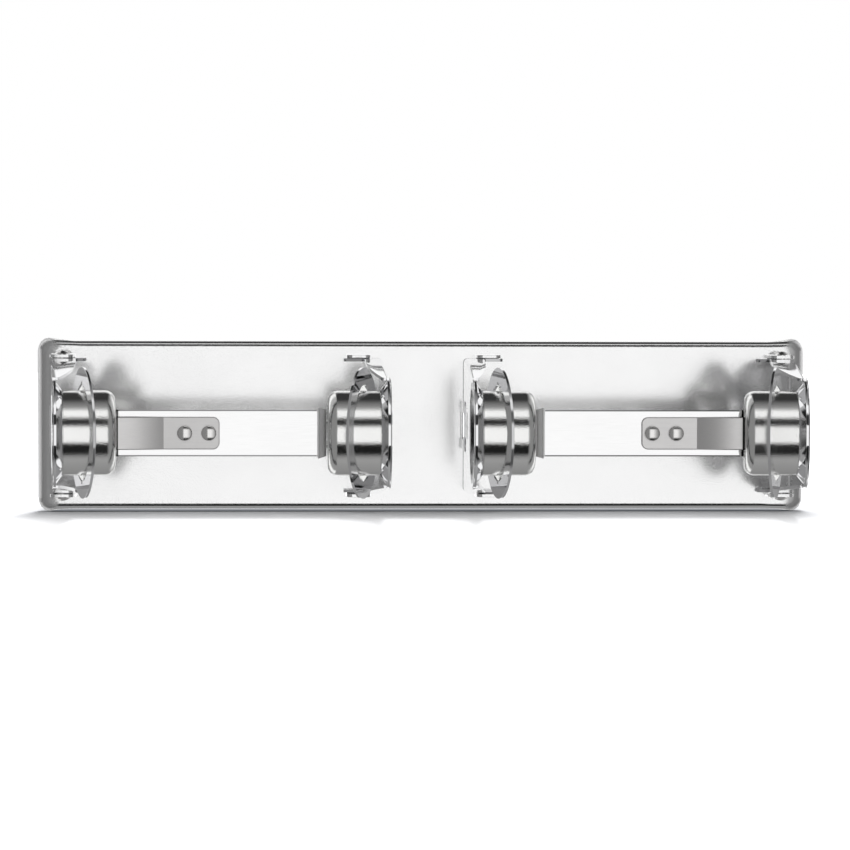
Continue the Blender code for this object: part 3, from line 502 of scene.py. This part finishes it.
def leaf_piece(side, sizes):
    """One leaf from its riveted end to its free one, the place of its bend and its hand."""
    low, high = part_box("latch_spring_" + side)
    free_low, free_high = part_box("latch_tongue_" + side)
    hand = -1 if side == "left" else 1
    riveted, inner_bend = (high[0], low[0]) if hand < 0 else (low[0], high[0])
    outer_bend, free = (free_high[0], free_low[0]) if hand < 0 else (free_low[0], free_high[0])
    bend = (inner_bend + outer_bend) / 2
    run = abs(free - bend)
    rise = run * tan(sizes.tongue_angle) / 2
    bm = bmesh.new()
    start = [bm.verts.new((riveted, low[1], level)) for level in (low[2], high[2])]
    edge = bm.edges.new(start)
    here = Vector((riveted, low[1], 0))
    stations = [Vector((bend, low[1], 0))]
    for step in range(1, sizes.tongue_steps + 1):
        share = step / sizes.tongue_steps
        bowed = rise * (2 * share - share ** 2)
        stations.append(Vector((bend + hand * run * share, low[1] - bowed, 0)))
    for station in stations:
        grown = bmesh.ops.extrude_edge_only(bm, edges=[edge])["geom"]
        moved = [item for item in grown if isinstance(item, bmesh.types.BMVert)]
        bmesh.ops.translate(bm, vec=station - here, verts=moved)
        edge = next(item for item in grown if isinstance(item, bmesh.types.BMEdge)
                    and all(vert in moved for vert in item.verts))
        here = station
    bmesh.ops.bevel(bm, geom=start, offset=sizes.leaf_corner, segments=sizes.corner_steps,
                    profile=0.5, affect="VERTICES", material=-1)
    bmesh.ops.recalc_face_normals(bm, faces=bm.faces)
    if sum(face.normal.y for face in bm.faces) > 0:
        bmesh.ops.reverse_faces(bm, faces=bm.faces)
    back = bmesh.ops.duplicate(bm, geom=list(bm.faces))["geom"]
    behind = [item for item in back if isinstance(item, bmesh.types.BMVert)]
    bmesh.ops.translate(bm, vec=(0, high[1] - low[1], 0), verts=behind)
    bmesh.ops.reverse_faces(bm, faces=[item for item in back if isinstance(item, bmesh.types.BMFace)])
    rims = [item for item in bm.edges if item.is_boundary]
    bmesh.ops.bridge_loops(bm, edges=rims)
    ease_front(bm, sizes.leaf_ease, sizes.leaf_ease_drop, LEAF_FACING)
    return as_piece(bm, "latch_leaf_" + side, STRIP_ANGLE), Vector((bend, low[1], 0)), hand


def latch_rivet(node, sizes):
    """A round-head rivet, turned about its own axis and set through a leaf and its bar."""
    low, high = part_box(node)
    seat = low[1] + sizes.cad_head
    crown = sizes.head_crown
    profile = []
    for step in range(sizes.crown_steps + 1):
        angle = step * asin(sizes.head_radius / crown) / sizes.crown_steps
        profile.append((crown * sin(angle), seat - sizes.head_height + crown * (1 - cos(angle))))
    rim = profile[-1]
    profile += [(sizes.head_radius, seat), (sizes.shank_radius, seat),
                (sizes.shank_radius, high[1] - sizes.tail_height),
                (sizes.tail_radius, high[1] - sizes.tail_height), (sizes.tail_radius, high[1]),
                (0, high[1])]
    middle = ((low[0] + high[0]) / 2, 0, (low[2] + high[2]) / 2)
    bm = bmesh.new()
    verts = [bm.verts.new((middle[0] + radius, depth, middle[2])) for radius, depth in profile]
    edges = [bm.edges.new(pair) for pair in zip(verts, verts[1:])]
    bmesh.ops.spin(bm, geom=verts + edges, cent=middle, axis=(0, 1, 0), angle=2 * pi,
                   steps=sizes.rivet_steps, use_merge=True)
    bmesh.ops.remove_doubles(bm, verts=bm.verts, dist=sizes.weld / 2)

    def on_rim(vert):
        reach = hypot(vert.co.x - middle[0], vert.co.z - middle[2])
        return abs(reach - rim[0]) < sizes.weld and abs(vert.co.y - rim[1]) < sizes.weld

    ring = [item for item in bm.edges if all(on_rim(vert) for vert in item.verts)]
    bmesh.ops.bevel(bm, geom=ring, offset=sizes.head_round, segments=sizes.round_steps, profile=0.5,
                    affect="EDGES", material=-1)
    return as_piece(bm, node + "_turned", SHEET_ANGLE)


class DISPENSER_OT_plate(bpy.types.Operator):
    """Dress the wall plate and the folded strips that carry the ears"""
    bl_idname = "dispenser.plate"
    bl_label = "Wall Plate"

    def execute(self, context):
        sizes, finishes = context.scene.dispenser_sizes, context.scene.dispenser_finishes
        # The plate's ends: duller, with their colour darkened as painted shade
        end = Zone(start=PLATE_HIGH[0] - sizes.plate_end, width=sizes.end_fade, dullness=0.24,
                   painted_shade_share=0.86)
        satin = metal("satin_chrome", finishes.satin, roughness=0.11, spread=0.03, lift=0.06,
                      lobe=0.12, zone=end)
        dress(softened_sheet("wall_plate", sizes), "wall_plate", satin)
        for role in ("outer", "inner"):
            for side in SIDES:
                node = "ear_bracket_%s_%s" % (role, side)
                dress(softened_sheet(node, sizes), node, satin)
        return {"FINISHED"}


class DISPENSER_OT_arms(bpy.types.Operator):
    """Dress the four folded arms"""
    bl_idname = "dispenser.arms"
    bl_label = "Arms"

    def execute(self, context):
        sizes, finishes = context.scene.dispenser_sizes, context.scene.dispenser_finishes
        for hub in hubs(sizes):
            bright = metal("arm_chrome_" + hub.tag, finishes.bright, roughness=0.05, spread=0.02,
                           lift=0.01, turn=hub.turn)
            node = "%s_arm_%s" % (hub.role, hub.side)
            dress(softened_sheet(node, sizes), node, bright)
        return {"FINISHED"}


class DISPENSER_OT_drums(bpy.types.Operator):
    """Dress the four drawn drums"""
    bl_idname = "dispenser.drums"
    bl_label = "Drums"

    def execute(self, context):
        sizes, finishes = context.scene.dispenser_sizes, context.scene.dispenser_finishes
        for hub in hubs(sizes):
            drawn = metal("drawn_drum_" + hub.tag, finishes.drawn, roughness=0.10, spread=0.10,
                          lift=0.42, turn=hub.turn, place=hub.place)
            node = "hub_cup_" + hub.tag
            dress(softened_sheet(node, sizes), node, drawn)
        return {"FINISHED"}


class DISPENSER_OT_discs(bpy.types.Operator):
    """Dress the four brake discs that lean on their drums"""
    bl_idname = "dispenser.discs"
    bl_label = "Brake Discs"

    def execute(self, context):
        sizes, finishes = context.scene.dispenser_sizes, context.scene.dispenser_finishes
        for hub in hubs(sizes):
            bright = metal("disc_chrome_" + hub.tag, finishes.bright, roughness=0.05, spread=0.02,
                           lift=0.01, turn=hub.turn + hub.hand * hub.tilt, place=hub.place)
            node = "brake_disc_" + hub.tag
            dress(softened_sheet(node, sizes), node, bright)
        return {"FINISHED"}


class DISPENSER_OT_bars(bpy.types.Operator):
    """Dress the tie bars and make the latch leaves on them"""
    bl_idname = "dispenser.bars"
    bl_label = "Tie Bars and Leaves"

    def execute(self, context):
        sizes, finishes = context.scene.dispenser_sizes, context.scene.dispenser_finishes
        foot = Zone(start=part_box("tie_bar_right")[0][0] + sizes.foot_width, width=-sizes.foot_fade,
                    dullness=0.60, painted_shade_share=1.0)
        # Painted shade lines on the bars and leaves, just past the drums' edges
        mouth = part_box("hub_cup_outer_right")[0][0]
        bar_painted_shade = PaintedShadeLine(mouth + sizes.bar_shade, sizes.shade_reach, sizes.shade_fade)
        leaf_painted_shade = PaintedShadeLine(mouth + sizes.leaf_shade, sizes.shade_reach, sizes.shade_fade)
        strap = metal("satin_strap", finishes.strap, roughness=0.09, spread=0.05, lift=0.04,
                      stretch=ROLLED, zone=foot, line=bar_painted_shade)
        steel = metal("spring_steel", finishes.leaf, roughness=0.34, spread=0.06, lift=0.05,
                      stretch=ROLLED, line=leaf_painted_shade)
        for side in SIDES:
            dress(eased_strip("tie_bar_" + side, sizes), "tie_bar_" + side, strap)
            leaf, bend, hand = leaf_piece(side, sizes)
            leaf.data.materials.append(steel)
            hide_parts("latch_spring_" + side, "latch_tongue_" + side)
            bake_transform(leaf)
        return {"FINISHED"}


class DISPENSER_OT_rivets(bpy.types.Operator):
    """Dress the rivets"""
    bl_idname = "dispenser.rivets"
    bl_label = "Rivets"

    def execute(self, context):
        sizes, finishes = context.scene.dispenser_sizes, context.scene.dispenser_finishes
        plated = metal("plated_rivet", finishes.rivet, roughness=0.13, spread=0.02, lift=0.01)
        for node in sorted(name for name in frame["nodes"] if "_rivet_" in name):
            make = latch_rivet if node.startswith("latch") else softened_sheet
            dress(make(node, sizes), node, plated)
        return {"FINISHED"}


class DISPENSER_OT_stage(bpy.types.Operator):
    """Set the floor, the studio, the lamp and the camera"""
    bl_idname = "dispenser.stage"
    bl_label = "Stage"

    def execute(self, context):
        stage = context.scene.dispenser_stage
        make_floor(stage)
        make_studio(context.scene, stage)
        make_sun(stage)
        make_camera(context.scene)
        return {"FINISHED"}


def make_floor(stage):
    """A pale floor that shows white and keeps the dispenser's shadow, with painted shade and a painted glow."""
    bm = bmesh.new()
    bmesh.ops.create_grid(bm, x_segments=1, y_segments=1, size=stage.floor_reach,
                          matrix=Matrix.Translation((0, 0, PLATE_LOW[2])))
    floor = as_piece(bm, "floor", SHEET_ANGLE)
    material, shading = new_finish("pale_floor")
    seen = shading.node("ShaderNodeLightPath")
    coordinates = shading.node("ShaderNodeTexCoord", output=3)
    depth = shading.node("ShaderNodeSeparateXYZ", Vector=coordinates, output=1)
    to_front = along(shading, 1) - stage.shadow_reach
    to_side = (along(shading, 0) - PLATE_HIGH[0]) * stage.side_haste
    # Painted light: the floor's glow grows away from the plate, so that its shadow fades out
    painted_whitening = (to_front.larger(to_side) / stage.shadow_fade).clamped()
    ends = along(shading, 0).ramp(PLATE_HIGH[0] - stage.contact_inset, stage.contact_end)
    front = depth.ramp(-stage.contact_front, stage.contact_fade)
    # Painted shade on the floor under the plate's foot and just behind it
    under = front * (1 - depth.ramp(0, stage.contact_back)) * (1 - ends)
    open_floor = shading.node("ShaderNodeBsdfDiffuse", Color=(*stage.floor_colour, 1))
    painted_shade_floor = shading.node("ShaderNodeBsdfDiffuse", Color=(*stage.shade_colour, 1))
    lit = shading.node("ShaderNodeMixShader", _0=under, _1=open_floor, _2=painted_shade_floor)
    white = shading.node("ShaderNodeEmission", Color=(*WHITE, 1), Strength=1.0)
    glow = shading.node("ShaderNodeMixShader", _0=seen * (stage.floor_glow * (1 - under) + painted_whitening),
                        _2=white)
    shading.out(shading.node("ShaderNodeAddShader", _0=lit, _1=glow))
    floor.data.materials.append(material)
    floor.visible_glossy = False


# Stops of the studio round the dispenser, from straight down through the front,
# the top and the back to straight down again, as shares of a full turn
RING_SHARES = (
    (0.000, 0.32), (0.040, 0.35), (0.070, 0.27), (0.086, 0.12), (0.098, 0.012), (0.172, 0.012),
    (0.188, 1.00), (0.298, 1.00), (0.316, 0.03), (0.362, 0.03), (0.382, 1.00), (0.428, 1.00),
    (0.448, 0.42), (0.470, 0.26), (0.515, 0.13), (0.540, 0.035), (0.645, 0.04), (0.675, 1.00),
    (0.800, 1.00), (0.832, 0.24), (1.000, 0.32))
# Where the front lights stop to the left and the right, as shares of the way across
BESIDE_SHARES = ((0.00, 1), (0.410, 1), (0.445, 0), (0.585, 0), (0.640, 0.25), (0.730, 0.75),
                 (0.800, 1), (1.00, 1))
# What is at the sides, from the front to the back
SIDE_SHARES = (
    (0.00, 0.25), (0.46, 0.25), (0.475, 0.03), (0.565, 0.03), (0.585, 1.00), (0.910, 1.00),
    (0.935, 0.30), (1.00, 0.30))
# The cards that stand at the sides, from below to above
CARD_SHARES = (
    (0.00, 0.30), (0.330, 0.32), (0.345, 0.015), (0.440, 0.015), (0.458, 1.00), (0.552, 1.00),
    (0.570, 0.015), (0.650, 0.015), (0.670, 0.45), (1.00, 0.45))
# Where the cards start and end towards the back, and where the sides show again behind the
# lights, all as parts of a unit direction, with the softness of each edge
CARD_START = 0.15
CARD_END = 0.56
CARD_FADE = 0.025
BACK_START = 0.8
BACK_SIDE = 0.2
BACK_FADE = 0.05


def make_studio(scene, stage):
    """White to the camera, and long soft lights and flags to the metal."""
    world = bpy.data.worlds.new("studio")
    world.use_nodes = True
    scene.world = world
    shading = Shading(world.node_tree)
    way = shading.node("ShaderNodeTexCoord")
    side, depth, height = (shading.node("ShaderNodeSeparateXYZ", Vector=way, output=axis)
                           for axis in range(3))
    turns = reckon(world.node_tree, "ARCTAN2", height, -depth) / (2 * pi) + 0.25
    share = reckon(world.node_tree, "WRAP", turns, 1, 0)
    ring = shading.node("ShaderNodeValToRGB", {"stops": RING_SHARES}, Fac=share)
    beside = shading.node("ShaderNodeValToRGB", {"stops": BESIDE_SHARES}, Fac=side * 0.5 + 0.5)
    flanks = shading.node("ShaderNodeValToRGB", {"stops": SIDE_SHARES}, Fac=depth * 0.5 + 0.5)
    cards = shading.node("ShaderNodeValToRGB", {"stops": CARD_SHARES}, Fac=height * 0.5 + 0.5)
    carded = depth.ramp(CARD_START, CARD_FADE) * (1 - depth.ramp(CARD_END, CARD_FADE))
    wings = shading.blended(carded, flanks, cards)
    behind = depth.ramp(BACK_START, BACK_FADE) * abs(side).ramp(BACK_SIDE, BACK_FADE)
    seen = shading.node("ShaderNodeLightPath")
    glossy = shading.node("ShaderNodeLightPath", output=3)
    mirrored = shading.blended(beside.larger(behind), ring, wings)
    plain = seen * (1 - stage.fill) + stage.fill
    open_sky = shading.node("ShaderNodeBackground", Strength=plain, Color=(*WHITE, 1))
    studio = shading.node("ShaderNodeBackground", Color=mirrored)
    shading.out(shading.node("ShaderNodeMixShader", _0=glossy, _1=open_sky, _2=studio),
                "ShaderNodeOutputWorld")


def make_sun(stage):
    """A soft sun behind the plate, which draws the shadow under it."""
    light = bpy.data.lights.new("soft_sun", "SUN")
    light.energy = stage.sun_power
    light.angle = stage.sun_spread
    sun = bpy.data.objects.new("soft_sun", light)
    sun.rotation_euler = (stage.sun_height - pi / 2, 0, stage.sun_turn)
    sun.visible_glossy = False
    bpy.context.scene.collection.objects.link(sun)


def make_camera(scene):
    """The photograph's camera."""
    data = bpy.data.cameras.new("camera")
    data.sensor_width = SENSOR_WIDTH
    data.lens = FOCAL_PIXELS / PHOTO_PIXELS * SENSOR_WIDTH
    camera = bpy.data.objects.new("camera", data)
    camera.location = CAMERA_PLACE
    camera.rotation_mode = "XYZ"
    turn = Matrix.Rotation(-CAMERA_YAW, 3, "Z") @ Matrix.Rotation(pi / 2 - CAMERA_PITCH, 3, "X")
    camera.rotation_euler = (turn @ Matrix.Rotation(CAMERA_ROLL, 3, "Z")).to_euler()
    scene.collection.objects.link(camera)
    scene.camera = camera
    scene.view_settings.view_transform = "Standard"


class DISPENSER_PT_panel(bpy.types.Panel):
    """Lists the dispenser's pieces"""
    bl_idname = "DISPENSER_PT_panel"
    bl_label = "Tissue Dispenser"
    bl_space_type = "VIEW_3D"
    bl_region_type = "UI"
    bl_category = "Dispenser"

    def draw(self, context):
        for operator in OPERATORS:
            self.layout.operator(operator.bl_idname)


OPERATORS = (DISPENSER_OT_plate, DISPENSER_OT_arms, DISPENSER_OT_drums, DISPENSER_OT_discs,
             DISPENSER_OT_bars, DISPENSER_OT_rivets, DISPENSER_OT_stage)
GROUPS = (("dispenser_sizes", DispenserSizes), ("dispenser_finishes", DispenserFinishes),
          ("dispenser_stage", DispenserStage))


def register():
    """Register the property groups, the operators and the panel."""
    for name, group in GROUPS:
        bpy.utils.register_class(group)
        setattr(bpy.types.Scene, name, PointerProperty(type=group))
    for item in (*OPERATORS, DISPENSER_PT_panel):
        bpy.utils.register_class(item)


def unregister():
    """Take everything off again."""
    for item in (DISPENSER_PT_panel, *reversed(OPERATORS)):
        bpy.utils.unregister_class(item)
    for name, group in reversed(GROUPS):
        delattr(bpy.types.Scene, name)
        bpy.utils.unregister_class(group)


def main():
    """Make every piece in order."""
    register()
    bpy.ops.dispenser.plate()
    bpy.ops.dispenser.arms()
    bpy.ops.dispenser.drums()
    bpy.ops.dispenser.discs()
    bpy.ops.dispenser.bars()
    bpy.ops.dispenser.rivets()
    bpy.ops.dispenser.stage()


if __name__ == "__main__":
    main()
